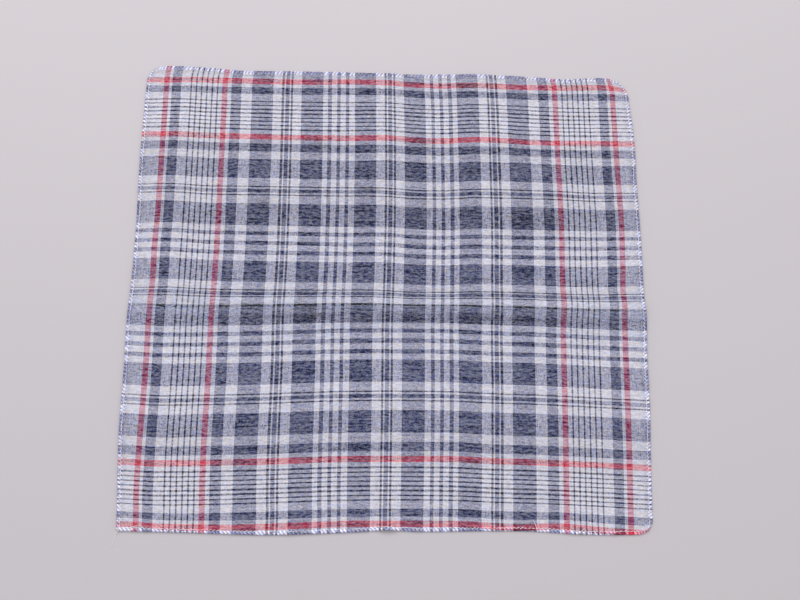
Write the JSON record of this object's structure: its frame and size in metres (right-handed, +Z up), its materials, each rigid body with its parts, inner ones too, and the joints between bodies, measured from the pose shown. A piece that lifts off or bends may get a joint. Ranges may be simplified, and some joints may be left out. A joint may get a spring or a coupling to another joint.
{
  "type": "handkerchief",
  "caption": "Thin square of checked woven cotton with a narrow turned hem, lying opened out and almost flat, with low fold creases.",
  "frame": {"origin": "on the surface that the cloth lies on, under the middle of its box", "axes": "+X along the lower hem, +Y towards the upper hem, +Z up out of the surface"},
  "size_m": [0.4081, 0.4029, 0.0052],
  "materials": {
    "checked_cotton": "matt plain-woven cotton in a white, navy and red check, sewn with white thread"
  },
  "bodies": {
    "root": {"handkerchief_cloth": "checked_cotton"}
  },
  "joints": []
}
